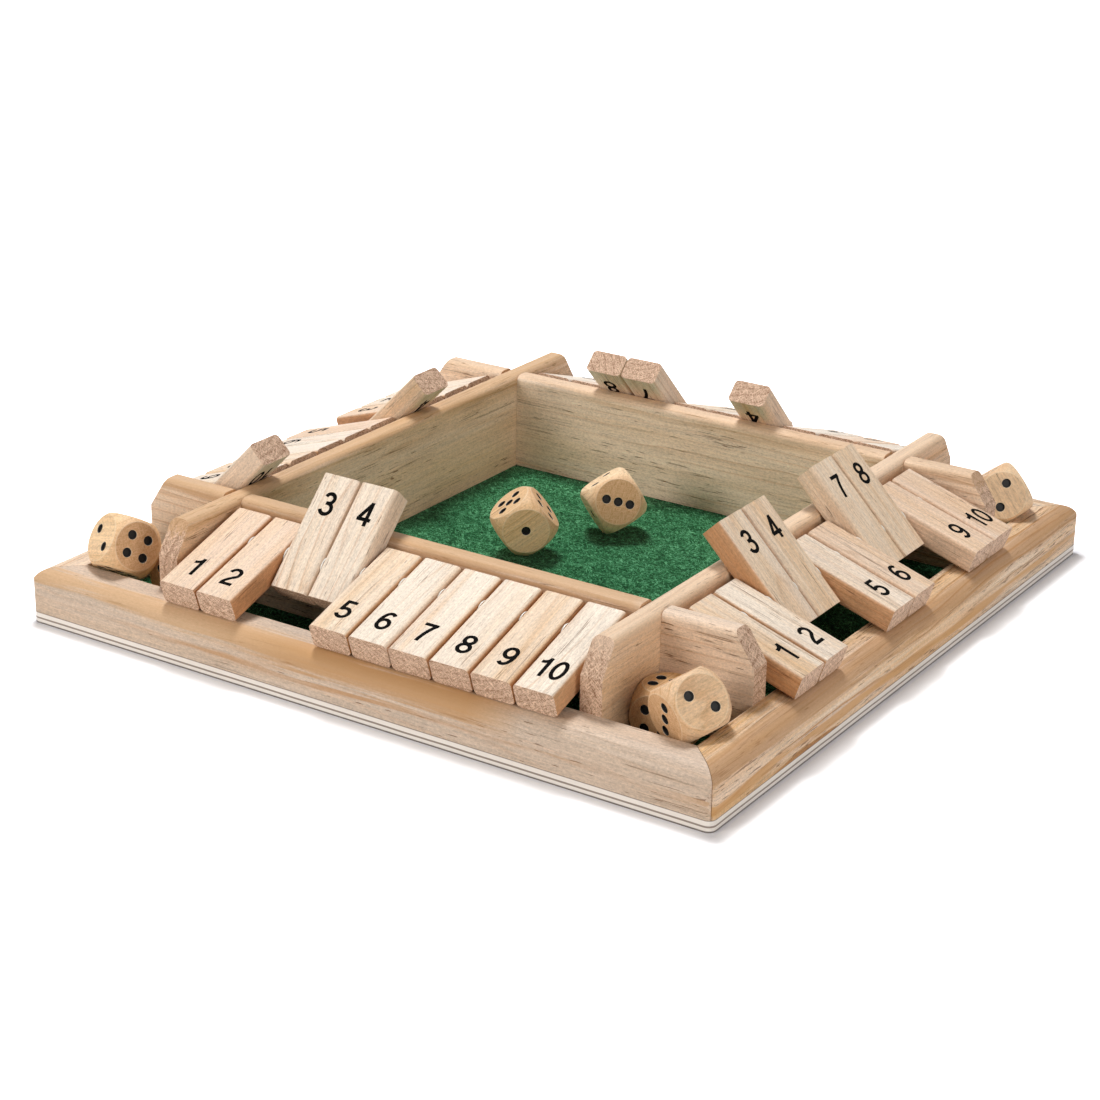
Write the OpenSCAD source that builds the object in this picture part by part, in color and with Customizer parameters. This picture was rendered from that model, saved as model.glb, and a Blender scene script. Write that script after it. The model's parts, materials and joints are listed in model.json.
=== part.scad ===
/* [Board] */
// Side of the square board
board_w = 290; // [240:1:350]
// Thickness of the three-ply base
base_t = 4.2; // [3:0.1:9]
// Rounding of the board's upright corners
corner_r = 3; // [1:0.5:5]
// Thickness of the felt that lines the board
felt_t = 1.5; // [0.8:0.1:3]

/* [Rails] */
// Width of the mitred rail round the edge
rail_w = 14.7; // [12:0.1:18]
// Height of the rail above the base
rail_h = 16.7; // [13:0.1:20]
// Rounding of the rail's outer top edge
rail_round = 7; // [2:0.5:9]

/* [Walls of the dice well] */
// Thickness of a wall
wall_t = 8.5; // [7:0.1:10.5]
// Height of a wall above the felt
wall_h = 40; // [33:0.5:48]
// Rounding of the two long edges along a wall's top
wall_round = 2.6; // [1:0.1:3.5]
// Length of the bevel at a wall's end, along the top
end_bevel_l = 8; // [0:0.5:12]
// How far the bevel falls
end_bevel_h = 12; // [1:0.1:16]
// Depth of the blind bore that holds a rod's end
rod_seat = 6; // [3:0.1:6.5]

/* [Rods and washers] */
// Diameter of the steel rods
rod_d = 3; // [2:0.1:3.8]
// How far a rod's axis lies below the top of the walls
rod_drop = 9.9; // [8:0.1:12]
// Diameter of the spacer washers
washer_d = 8; // [6:0.1:9.5]
// Thickness of the spacer washers
washer_t = 0.5; // [0.4:0.1:1.5]

/* [Number tiles] */
// Length of a tile
tile_l = 46; // [38:0.5:56]
// Thickness of a tile
tile_t = 9.6; // [8:0.1:11.5]
// Rounding of a tile's four long edges
tile_edge_r = 1.7; // [1:0.1:3]
// Distance from a tile's inner end to its rod
rod_inset = 13.1; // [10:0.1:16]
// How far the outer end of a lying tile stays inside the board's edge
tile_setback = 5.35; // [3:0.05:9]

/* [Dice] */
// Width of a die across its flats
die_w = 20; // [14:0.5:24]
// How much wider than the die the ball is that rounds its corners
die_ball_extra = 7; // [5:0.1:8]
// Diameter of a painted pip
pip_d = 3; // [2:0.1:3.4]
// Depth of a pip
pip_depth = 0.9; // [0.4:0.1:1.5]
// Diameter of the shallow ring where the drill broke the surface
pip_rim_d = 3.8; // [3.5:0.1:4.4]
// Distance of the pips from the middle of a face, each way
pip_reach = 3.4; // [2.5:0.1:4.2]
// Step between the three pips in a row of the six
six_step = 4.9; // [3.6:0.1:5.2]
// Distance between the two rows of the six
six_rows = 5.4; // [4.4:0.1:6.4]

/* [Clearances] */
// Play between a tile or die and what it rests on
rest_gap = 0.25; // [0.15:0.05:0.5]
// Play round the rod in a tile or a washer, all round
rod_fit = 0.1; // [0.05:0.05:0.3]
// Play round the rod's end in its blind bore, all round
seat_fit = 0.03; // [0.01:0.01:0.1]
// Play between a tile and the washer beside it
side_gap = 0.15; // [0.1:0.05:0.5]
// Room between a tile's turning inner end and the wall
turn_gap = 1.35; // [0.5:0.05:3]
// Room between the raised tiles of two rows at a corner
corner_gap = 0.4; // [0.4:0.1:2]
// Play in the halved joints of the walls
lap_fit = 0.1; // [0.05:0.05:0.3]
// Open line at a mitre
mitre_gap = 0.12; // [0.05:0.01:0.3]
// How much smaller than its recess the felt is cut, each side
felt_play = 0.4; // [0.1:0.1:1]

/* [Hidden] */
$fn = 64;
tiles_a_row = 10;
rows = ["front", "right", "back", "left"];
// The numbers that stand raised in each row, seen from the front and on anticlockwise
raised = [[3, 4], [3, 4, 7, 8], [4, 7, 8], [4, 10]];
// A hair of extra length that lets a cut run past the face it opens
past = 1;
// How finely a die is let down on what lies below it, and how densely that is covered with points
first_step = 1;
last_step = 0.05;
point_turn = 7.5;
point_gap = 2;

board_half = board_w / 2;
rail_in = board_half - rail_w;
rail_top = base_t + rail_h;
felt_top = base_t + felt_t;
wall_top = felt_top + wall_h;
rod_z = wall_top - rod_drop;

// A tile turns on its rod: its outer bottom edge comes to lie on the rail
tile_reach = tile_l - rod_inset;
lie_angle = asin((rod_z - rail_top - rest_gap) / norm([tile_reach, tile_t / 2]))
    - atan2(tile_t / 2, tile_reach);
lie_out = tile_reach * cos(lie_angle) - tile_t / 2 * sin(lie_angle);

// The rod stands off the wall by the turning circle of the tile's inner end
rod_out = norm([rod_inset, tile_t / 2]) + turn_gap;
rod_y = board_half - tile_setback - lie_out;
wall_out = rod_y - rod_out;
well_half = wall_out - wall_t;
wall_mid = well_half + wall_t / 2;

// A raised tile leans on the rounded outer edge of the wall's top
nose = [rod_out + wall_round, rod_drop - wall_round];
lean_angle = atan2(nose.y, nose.x) + asin((tile_t / 2 + wall_round + rest_gap) / norm(nose));
swing = 180 + lie_angle - lean_angle;
raised_tip = rod_y - tile_reach * cos(lean_angle) - tile_t / 2 * sin(lean_angle);

// The rows are as long as the raised tiles of the next rows allow, past rounded edges
row_half = raised_tip + tile_edge_r / 2 - corner_gap;
tile_play = washer_t + 2 * side_gap;
tile_step = (2 * row_half + tile_play) / tiles_a_row;
tile_w = tile_step - tile_play;

// Dice: the two in the well, then those in the corner pockets
die_half = die_w / 2;
ball_r = (die_w + die_ball_extra) / 2;
low_die = wall_out + die_half + rest_gap;
low_die_z = felt_top + die_half + rest_gap;
well_dice = [
    ["die_well_1", [-26.3, 3.7], [93, 52.8, 40.4]],
    ["die_well_2", [-10.1, 43.2], [-147.3, -56.3, -165.2]]
];
// Each pocket's die name, its corner, the turn of the lower die, then the upper die's
// distance from the rails' inner corner and its turn
pocket_dice = [
    ["die_front", [1, -1], [180, 0, 0], [9.7, 11.4], [15.5, -33.2, -32.1]],
    ["die_left", [-1, -1], [0, 90, 0], [10.6, 9.1], [19.1, -30.3, -116.8]],
    ["die_right", [1, 1], [90, 0, 0], [8.9, 11.9], [-58.7, -21.9, -56.8]]
];

function tile_name(row, number) = str("tile_", rows[row], "_", number);
function is_raised(row, number) = len(search(number, raised[row])) > 0;

// Turning matrix of a rotate() with the same three angles
function turn_x(a) = [[1, 0, 0], [0, cos(a), -sin(a)], [0, sin(a), cos(a)]];
function turn_y(a) = [[cos(a), 0, sin(a)], [0, 1, 0], [-sin(a), 0, cos(a)]];
function turn_z(a) = [[cos(a), -sin(a), 0], [sin(a), cos(a), 0], [0, 0, 1]];
function turn_matrix(t) = turn_z(t.z) * turn_y(t.y) * turn_x(t.x);

// How far a turned die reaches straight down from its middle
function die_depth(t) =
    let (up = max([for (c = turn_matrix(t)[2]) abs(c)]))
    ball_r * up <= die_half ? ball_r
        : die_half * up + sqrt(ball_r ^ 2 - die_half ^ 2) * sqrt(1 - up ^ 2);

function clamp(v, most) = [for (c = v) max(-most, min(most, c))];

// Points on the upper half of a flat-lying die, and along the tops of the two rails of a corner
function low_die_points(corner) = [
    for (up = [0:point_turn:90]) for (round = [0:point_turn:360 - point_turn])
        [corner.x * low_die, corner.y * low_die, low_die_z]
            + clamp(ball_r * [cos(up) * cos(round), cos(up) * sin(round), sin(up)], die_half)
];
function rail_points(corner) = [
    for (along = [wall_out:point_gap:board_half]) for (over = [0:point_gap:rail_w - rail_round])
        for (point = [[along, rail_in + over], [rail_in + over, along]])
            [corner.x * point.x, corner.y * point.y, rail_top]
];

function near_point(point, middle, matrix) =
    let (v = (point - middle) * matrix)
    max([for (c = v) abs(c)]) < die_half + rest_gap && norm(v) < ball_r + rest_gap;
function touches(middle, matrix, points) =
    len([for (point = points) if (near_point(point, middle, matrix)) 1]) > 0;

// Lets a die down in ever finer steps until it would touch a point below it
function settled(middle, turn, points, step = first_step) =
    let (next = middle - [0, 0, step], floor_z = felt_top + die_depth(turn) + rest_gap)
    next.z < floor_z || touches(next, turn_matrix(turn), points)
        ? (step < last_step ? middle : settled(middle, turn, points, step / 4))
        : settled(next, turn, points, step);

// Middle of the upper die of a pocket
function top_die_middle(pocket) =
    let (corner = pocket[1], inset = pocket[3])
    settled([corner.x * (rail_in - inset.x), corner.y * (rail_in - inset.y), rail_top + 2 * ball_r],
        pocket[4], concat(low_die_points(corner), rail_points(corner)));

module board_outline() {
    for (x = [-1, 1]) for (y = [-1, 1])
        translate([x, y] * (board_half - corner_r)) circle(corner_r);
    square([board_w, board_w - 2 * corner_r], center = true);
    square([board_w - 2 * corner_r, board_w], center = true);
}

module base_board() {
    color("burlywood") linear_extrude(base_t) board_outline();
}

module felt_mat() {
    side = 2 * (rail_in - felt_play);
    color("darkgreen") translate([0, 0, base_t]) linear_extrude(felt_t) square(side, center = true);
}

// Section of a rail, from its outer face at 0 to its inner face
module rail_section() {
    square([rail_w, rail_h - rail_round]);
    translate([rail_round, 0]) square([rail_w - rail_round, rail_h]);
    translate([rail_round, rail_h - rail_round]) circle(rail_round);
}

// A rail on the front side, mitred at both ends, turned on to its own side
module rail(row) {
    color("wheat") rotate([0, 0, 90 * row]) intersection() {
        translate([0, -board_half, base_t]) rotate([90, 0, 90])
            linear_extrude(board_w, center = true) rail_section();
        linear_extrude(rail_top) translate([0, -mitre_gap])
            polygon([[0, 0], [-board_half, -board_half], [board_half, -board_half]]);
        linear_extrude(rail_top) board_outline();
    }
}

// Section of a wall with its rounded top
module wall_section() {
    flat = wall_t - 2 * wall_round;
    translate([-wall_t / 2, 0]) square([wall_t, wall_h - wall_round]);
    translate([-flat / 2, 0]) square([flat, wall_h]);
    for (side = [-1, 1]) translate([side * flat / 2, wall_h - wall_round]) circle(wall_round);
}

// Wedge that bevels the right-hand end of a wall
module end_bevel() {
    translate([rail_in, 0, wall_top]) rotate([90, 0, 0])
        linear_extrude(2 * wall_t, center = true)
            polygon([[-end_bevel_l, 0], [-end_bevel_l, past], [past, past], [past, -end_bevel_h],
                [0, -end_bevel_h]]);
}

// A wall along its own row. Front and back walls are halved from above, the side walls
// from below, so that they cross at full height. Its two ends hold the next rows' rods.
module wall(row) {
    halved_above = row % 2 == 0;
    slot = [wall_t + 2 * lap_fit, wall_t + 2 * past, wall_h / 2 + past + lap_fit / 2];
    slot_z = halved_above ? wall_top + past - slot.z / 2 : felt_top - past + slot.z / 2;
    color("tan") rotate([0, 0, 90 * row]) translate([0, -wall_mid, 0]) difference() {
        translate([0, 0, felt_top]) rotate([90, 0, 90])
            linear_extrude(2 * rail_in, center = true) wall_section();
        for (side = [-1, 1]) {
            scale([side, 1, 1]) end_bevel();
            translate([side * wall_mid, 0, slot_z]) cube(slot, center = true);
            translate([side * rod_y, wall_t / 2 + past, rod_z]) rotate([90, 0, 0])
                cylinder(d = rod_d + 2 * seat_fit, h = rod_seat + past);
        }
    }
}

// The four rods that the rows of tiles turn on
module tile_rods() {
    length = 2 * (well_half + rod_seat - side_gap);
    color("silver") for (row = [0:3]) rotate([0, 0, 90 * row])
        translate([0, -rod_y, rod_z]) rotate([0, 90, 0])
            cylinder(d = rod_d, h = length, center = true);
}

// Thin washers that keep neighbouring tiles apart
module tile_washers() {
    color("whitesmoke") for (row = [0:3]) rotate([0, 0, 90 * row])
        for (gap = [1:tiles_a_row - 1])
            translate([(gap - tiles_a_row / 2) * tile_step, -rod_y, rod_z]) rotate([0, 90, 0])
                linear_extrude(washer_t, center = true) difference() {
                    circle(d = washer_d);
                    circle(d = rod_d + 2 * rod_fit);
                }
}

module tile_section() {
    for (x = [-1, 1]) for (z = [-1, 1])
        translate([x * (tile_w / 2 - tile_edge_r), z * (tile_t / 2 - tile_edge_r)])
            circle(tile_edge_r);
    square([tile_w, tile_t - 2 * tile_edge_r], center = true);
    square([tile_w - 2 * tile_edge_r, tile_t], center = true);
}

// A tile with its rod's axis along X at the origin and its outer end towards -Y
module tile_blank() {
    difference() {
        translate([0, rod_inset, 0]) rotate([90, 0, 0]) linear_extrude(tile_l) tile_section();
        rotate([0, 90, 0]) cylinder(d = rod_d + 2 * rod_fit, h = tile_w + 2 * past, center = true);
    }
}

module tile(row, number) {
    place = (number - (tiles_a_row + 1) / 2) * tile_step;
    tilt = is_raised(row, number) ? lie_angle - swing : lie_angle;
    color("navajowhite") rotate([0, 0, 90 * row]) translate([place, -rod_y, rod_z])
        rotate([tilt, 0, 0]) tile_blank();
}

// Places of the pips on a face, from the middle of the face
function pips(number) =
    number == 6
        ? [for (x = [-1:1]) for (y = [-1, 1]) [x * six_step, y * six_rows / 2]]
        : concat(
            number % 2 == 1 ? [[0, 0]] : [],
            number > 1 ? [[-1, -1] * pip_reach, [1, 1] * pip_reach] : [],
            number > 3 ? [[-1, 1] * pip_reach, [1, -1] * pip_reach] : []
        );

// How each face, from the one to the six, is turned from the top
die_faces = [[0, 0, 0], [0, 90, 0], [90, 0, 0], [-90, 0, 0], [0, -90, 0], [180, 0, 0]];

module pip() {
    rim_depth = (pip_rim_d - pip_d) / 2;
    translate([0, 0, die_half - pip_depth]) cylinder(d = pip_d, h = pip_depth + past);
    translate([0, 0, die_half - rim_depth]) cylinder(d1 = pip_d, d2 = pip_rim_d, h = rim_depth);
    translate([0, 0, die_half]) cylinder(d = pip_rim_d, h = past);
}

module die_blank() {
    difference() {
        intersection() {
            cube(die_w, center = true);
            sphere(ball_r);
        }
        for (number = [1:6]) rotate(die_faces[number - 1])
            for (place = pips(number)) translate([place.x, place.y, 0]) pip();
    }
}

module die(middle, turn) {
    color("sandybrown") translate(middle) rotate(turn) die_blank();
}

module well_die(entry) {
    die([entry[1].x, entry[1].y, felt_top + die_depth(entry[2]) + rest_gap], entry[2]);
}

module low_pocket_die(pocket) {
    die([pocket[1].x * low_die, pocket[1].y * low_die, low_die_z], pocket[2]);
}

module top_pocket_die(pocket) {
    die(top_die_middle(pocket), pocket[4]);
}

base_board();
felt_mat();
for (row = [0:3]) rail(row);
for (row = [0:3]) wall(row);
tile_rods();
tile_washers();
for (row = [0:3]) for (number = [1:tiles_a_row])
    tile(row, number);
for (entry = well_dice) well_die(entry);
for (pocket = pocket_dice) low_pocket_die(pocket);
for (pocket = pocket_dice) top_pocket_die(pocket);
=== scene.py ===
import json
import math
import random
from typing import NamedTuple

import bmesh
import bpy
from mathutils import Euler, Matrix, Vector


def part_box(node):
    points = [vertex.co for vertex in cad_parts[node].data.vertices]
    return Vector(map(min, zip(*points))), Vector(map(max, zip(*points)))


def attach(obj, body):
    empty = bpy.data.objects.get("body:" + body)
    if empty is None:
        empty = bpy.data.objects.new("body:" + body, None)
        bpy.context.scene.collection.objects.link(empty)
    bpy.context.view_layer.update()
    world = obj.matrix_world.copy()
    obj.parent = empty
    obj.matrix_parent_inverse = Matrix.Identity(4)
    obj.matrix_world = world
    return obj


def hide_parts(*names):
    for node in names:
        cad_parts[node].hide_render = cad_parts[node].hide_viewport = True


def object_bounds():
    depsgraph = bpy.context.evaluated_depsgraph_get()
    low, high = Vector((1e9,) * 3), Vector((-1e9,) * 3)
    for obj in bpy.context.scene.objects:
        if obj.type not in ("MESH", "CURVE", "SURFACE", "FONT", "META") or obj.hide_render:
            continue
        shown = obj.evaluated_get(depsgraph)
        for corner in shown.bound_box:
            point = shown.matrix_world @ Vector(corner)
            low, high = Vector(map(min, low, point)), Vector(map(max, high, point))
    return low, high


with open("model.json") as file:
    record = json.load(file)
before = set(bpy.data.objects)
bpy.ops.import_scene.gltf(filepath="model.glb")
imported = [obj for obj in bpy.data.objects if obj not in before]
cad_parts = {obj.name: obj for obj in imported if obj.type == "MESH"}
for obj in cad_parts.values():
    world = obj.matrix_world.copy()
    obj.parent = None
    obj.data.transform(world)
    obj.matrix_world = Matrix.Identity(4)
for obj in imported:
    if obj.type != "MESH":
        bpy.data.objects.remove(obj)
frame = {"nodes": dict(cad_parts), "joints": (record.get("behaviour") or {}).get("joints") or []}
cad_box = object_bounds()

MM = 0.001
NODES = frame["nodes"]
ROWS = ("front", "right", "back", "left")
TILES_A_ROW = 10


# Camera: the photograph's viewing angle, solved from the board's edges

CAMERA_PLACE = Vector((486.6, -761.1, 377.2)) * MM
CAMERA_TARGET = Vector((-27.9, 24.7, 0)) * MM
CAMERA_ROLL = math.radians(0.85)
CAMERA_LENS = 83.1
CAMERA_SENSOR = 36
CAMERA_NEAR = 0.01


def make_camera():
    data = bpy.data.cameras.new("camera")
    data.lens = CAMERA_LENS
    data.sensor_width = CAMERA_SENSOR
    data.clip_start = CAMERA_NEAR
    camera = bpy.data.objects.new("camera", data)
    look = (CAMERA_TARGET - CAMERA_PLACE).to_track_quat("-Z", "Y").to_matrix().to_4x4()
    camera.matrix_world = Matrix.Translation(CAMERA_PLACE) @ look @ Matrix.Rotation(CAMERA_ROLL, 4, "Z")
    bpy.context.scene.collection.objects.link(camera)
    bpy.context.scene.camera = camera


make_camera()


# Node trees

class Tree:
    """The node tree of a material or a world, with short calls for the nodes that they share."""

    def __init__(self, owner):
        self.owner = owner
        owner.use_nodes = True
        self.tree = owner.node_tree
        self.tree.nodes.clear()

    def node(self, kind, inputs=(), **settings):
        made = self.tree.nodes.new(kind)
        for key, value in settings.items():
            setattr(made, key, value)
        for socket, value in dict(inputs).items():
            self.put(made.inputs[socket], value)
        return made

    def put(self, socket, value):
        """Sets an input to a value, or links it to an output."""
        if isinstance(value, bpy.types.NodeSocket):
            self.tree.links.new(value, socket)
        else:
            socket.default_value = value

    def math(self, operation, a, b=0.0, c=0.0, clamp=False):
        made = self.node("ShaderNodeMath", operation=operation, use_clamp=clamp)
        for socket, value in zip(made.inputs, (a, b, c)):
            self.put(socket, value)
        return made.outputs[0]

    def reach(self, a, b):
        """The distance that is a one way and b the other."""
        return self.math("SQRT", self.math("ADD", self.math("MULTIPLY", a, a), self.math("MULTIPLY", b, b)))

    def vector(self, operation, a, b=(0, 0, 0), out=0):
        made = self.node("ShaderNodeVectorMath", operation=operation)
        self.put(made.inputs[0], a)
        self.put(made.inputs["Scale" if operation == "SCALE" else 1], b)
        return made.outputs[out]

    def split(self, vector):
        return self.node("ShaderNodeSeparateXYZ", {0: vector}).outputs

    def join(self, x, y, z):
        return self.node("ShaderNodeCombineXYZ", {0: x, 1: y, 2: z}).outputs[0]

    def noise(self, vector, scale=1.0, detail=2.0, rough=0.5):
        made = self.node("ShaderNodeTexNoise", {
            "Vector": vector, "Scale": scale, "Detail": detail, "Roughness": rough})
        return made.outputs["Fac"]

    def span(self, value, low, high, to_low=0.0, to_high=1.0, smooth=False):
        """Takes low to to_low and high to to_high, and goes no further than either."""
        made = self.node("ShaderNodeMapRange", {
            "Value": value, "From Min": low, "From Max": high, "To Min": to_low, "To Max": to_high},
            interpolation_type="SMOOTHSTEP" if smooth else "LINEAR")
        return made.outputs[0]

    def ramp(self, value, *stops):
        made = self.node("ShaderNodeValToRGB", {0: value})
        points = made.color_ramp.elements
        while len(points) < len(stops):
            points.new(1.0)
        for point, (place, colour) in zip(points, stops):
            point.position = place
            point.color = (*colour, 1)
        return made.outputs[0]

    def mix(self, factor, a, b, blend="MIX"):
        made = self.node("ShaderNodeMix", data_type="RGBA", blend_type=blend)
        self.put(made.inputs[0], factor)
        for socket, value in zip(made.inputs[6:8], (a, b)):
            self.put(socket, value if isinstance(value, bpy.types.NodeSocket) else (*value, 1))
        return made.outputs[2]

    def seen(self):
        """1 where the camera or a reflection sees the surface, and 0 where it only sends light on."""
        path = self.node("ShaderNodeLightPath")
        return self.math("MAXIMUM", path.outputs["Is Camera Ray"], path.outputs["Is Glossy Ray"])


class Coat(Tree):
    """A material's node tree, with the point of the surface in metres and its direction."""

    def __init__(self, name):
        super().__init__(bpy.data.materials.new(name))
        place = self.node("ShaderNodeTexCoord")
        self.point = place.outputs["Object"]
        self.normal = place.outputs["Normal"]

    def facing(self, direction):
        """How squarely the surface lies across a direction, either way round, from 0 to 1."""
        return self.math("ABSOLUTE", self.vector("DOT_PRODUCT", self.normal, tuple(direction), out=1))

    def height(self):
        """The point's height in millimetres."""
        return self.math("MULTIPLY", self.split(self.point)[2], 1 / MM)

    def finish(self, colour, roughness, height=None, depth=1.0, **sockets):
        """Ends the tree in a surface. height stands out by up to depth, in millimetres."""
        shader = self.node("ShaderNodeBsdfPrincipled", {"Base Color": colour, "Roughness": roughness})
        for name, value in sockets.items():
            self.put(shader.inputs[name.replace("_", " ")], value)
        if height is not None:
            bump = self.node("ShaderNodeBump", {"Height": height, "Distance": depth * MM, "Strength": 1.0})
            self.put(shader.inputs["Normal"], bump.outputs[0])
        self.node("ShaderNodeOutputMaterial", {"Surface": shader.outputs[0]})
        return self.owner


# Wood: one solid texture of growth rings, fibres and dark flecks, placed afresh in each piece

PALE = (0.88, 0.785, 0.675)
ROSY = (0.82, 0.635, 0.50)
HONEY = (0.71, 0.43, 0.18)
RING = (0.50, 0.25, 0.09)
FLECK = (0.15, 0.06, 0.02)
END_PALE = (0.85, 0.625, 0.47)
END_DARK = (0.24, 0.115, 0.06)


class Noise(NamedTuple):
    """A noise in the wood: how fine it is along the grain and across it, per millimetre, its detail
    and roughness, and the levels between which it is read."""
    along: float
    across: float
    detail: float = 2
    rough: float = 0.5
    low: float = 0.3
    high: float = 0.7


FIBRE = Noise(0.035, 1.25, detail=3, rough=0.7, low=0.25, high=0.75)
GRIT = Noise(0.8, 1.7, rough=0.8)
STRIPE = Noise(0.006, 0.55, rough=0.6, low=0.40)
BLOTCH = Noise(0.010, 0.10, low=0.36, high=0.66)
PINK_PATCH = Noise(0.009, 0.05, detail=1, low=0.38, high=0.62)

# How far each makes the wood darker or lighter, and how far it moves the colour to honey or rosy
FIBRE_SHADE = (0.80, 1.14)
GRIT_SHADE = (-0.18, 0.18)
STRIPE_TAN = (-0.12, 0.26)
BLOTCH_TAN = (-0.25, 0.30)
PINK_SWING = 0.35

# Growth rings: how far slow and quick waves push them, how far they lean along the grain, where the
# heart of the tree lies if a piece doesn't say, and how dark a ring is from its inside outwards
SLOW_WAVE = Noise(0.008, 0.03, detail=1)
QUICK_WAVE = Noise(0.025, 0.14)
SLOW_PUSH = 13.0
QUICK_PUSH = 2.4
RING_LEAN = 0.05
PITH_DISTANCE = (25, 90)
RING_SEAM = 0.45
RING_CURVE = ((0.07, 0.03), (0.6, 0.06), (0.84, 0.38), (0.94, 1.0))
RING_PATCH = Noise(0.007, 0.07, low=0.38, high=0.66)
RING_FAINT = 0.22
RING_STRONG = 1.12

# Short flecks, which show where a noise passes a limit that sinks in some bands
DASH = Noise(0.15, 1.8, detail=1, rough=0.4)
CROWD = Noise(0.012, 0.10, detail=1, low=0.38, high=0.64)
FLECK_LIMIT = 0.80
FLECK_EASE = 0.16
FLECK_EDGE = 18.0

# Long hair lines, which follow one level of a drawn-out noise and come and go along it
VEIN = Noise(0.012, 0.55, rough=0.6)
VEIN_LEVEL = 0.5
VEIN_HALF = (0.003, 0.016)
VEIN_SHOW = 0.9
GATE = Noise(0.035, 0.30, detail=1)
GATE_LIMIT = 0.66
GATE_EASE = 0.18
GATE_EDGE = 0.04
LINE_SHOW = 0.80

# End grain, which shows where a face turns across the grain: pores, and fine slanting lines
END_TURN = (0.55, 0.8)
HATCH_TURN = math.radians(38)
HATCHES = ((2.2, 0.32, 1.0), (0.45, 2.0, 1.0))
HATCH_LEVELS = (0.50, 0.70)
PORES = (0.3, 2.5, 2.2)
PORE_LEVELS = (0.36, 0.64)
END_MIDDLE = 0.30
HATCH_SHADE = -0.50
PORE_SHADE = 0.60
RING_SHADE = 0.25

# Relief, in shares of its depth, and finish
FIBRE_RELIEF = 0.35
GRIT_RELIEF = 0.25
LINE_RELIEF = -0.6
PORE_RELIEF = 1.2
WOOD_RELIEF = 0.10
WOOD_ROUGHNESS = (0.50, 0.62)
ROUGHNESS_LEVELS = (0.2, 0.8)
WOOD_GLOSS = 0.32

# How far the texture is shifted from piece to piece, each way
SHIFT_REACH = 900


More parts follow.
